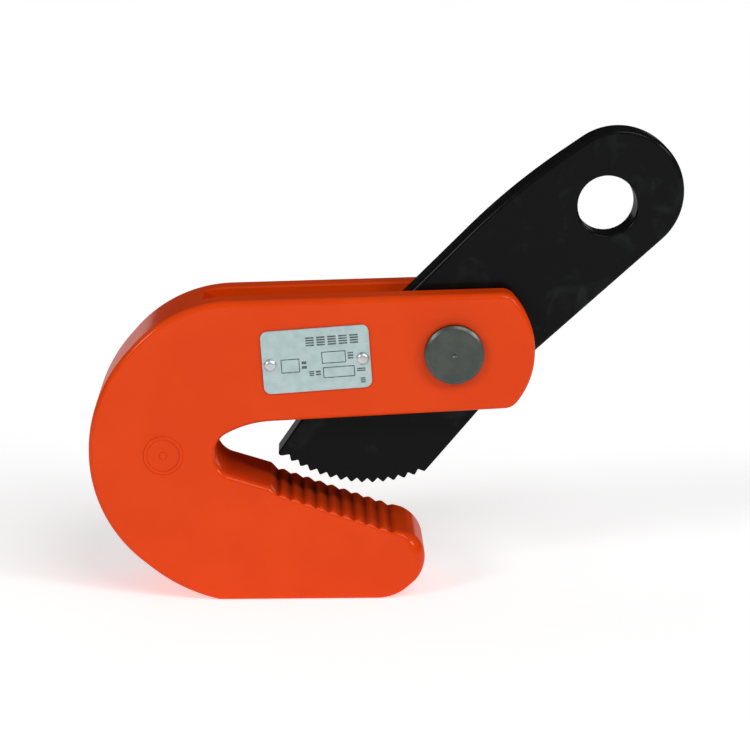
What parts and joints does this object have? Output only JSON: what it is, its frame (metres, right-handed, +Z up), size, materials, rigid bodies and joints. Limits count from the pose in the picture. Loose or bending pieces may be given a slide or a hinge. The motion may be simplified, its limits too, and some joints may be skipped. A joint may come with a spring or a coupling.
{
  "type": "plate lifting clamp",
  "caption": "C-shaped slotted lifting clamp body with a toothed lower jaw, and a toothed cam lever with a lifting eye on a headed pivot pin.",
  "frame": {"origin": "on the flat base face that the clamp stands on, near its middle", "axes": "+Z up from the base, +X along the arm towards the lifting eye, +Y from the nameplate side to the split pin side, along the pivot pin"},
  "size_m": [0.3202, 0.0724, 0.2547],
  "materials": {
    "body_paint": "glossy orange paint over forged steel",
    "lever_black": "semi-gloss black coat on plate steel",
    "pin_oxide": "turned steel, dark oxide, oiled",
    "zinc_steel": "bright zinc plate",
    "bush_bronze": "plain turned bronze",
    "nameplate_metal": "brushed, with printed blank fields",
    "rivet_metal": "domed, polished"
  },
  "bodies": {
    "clamp": {"clamp_body": "body_paint", "nameplate": "nameplate_metal", "nameplate_rivet_left": "rivet_metal", "nameplate_rivet_right": "rivet_metal"},
    "lever": {"cam_lever": "lever_black", "lever_bush": "bush_bronze", "thrust_washer_front": "zinc_steel", "thrust_washer_rear": "zinc_steel"},
    "pin": {"pivot_pin": "pin_oxide", "pin_washer": "zinc_steel", "split_pin": "zinc_steel"}
  },
  "joints": [
    {"name": "lever_pivot", "type": "hinge", "parent": "clamp", "child": "lever", "pos_m": [0.0832, 0, 0.1372], "axis": [0, 1, 0], "range_deg": [-16, 95]},
    {"name": "pin_turn", "type": "hinge", "parent": "clamp", "child": "pin", "pos_m": [0.0832, 0, 0.1372], "axis": [0, 1, 0], "continuous": true}
  ]
}
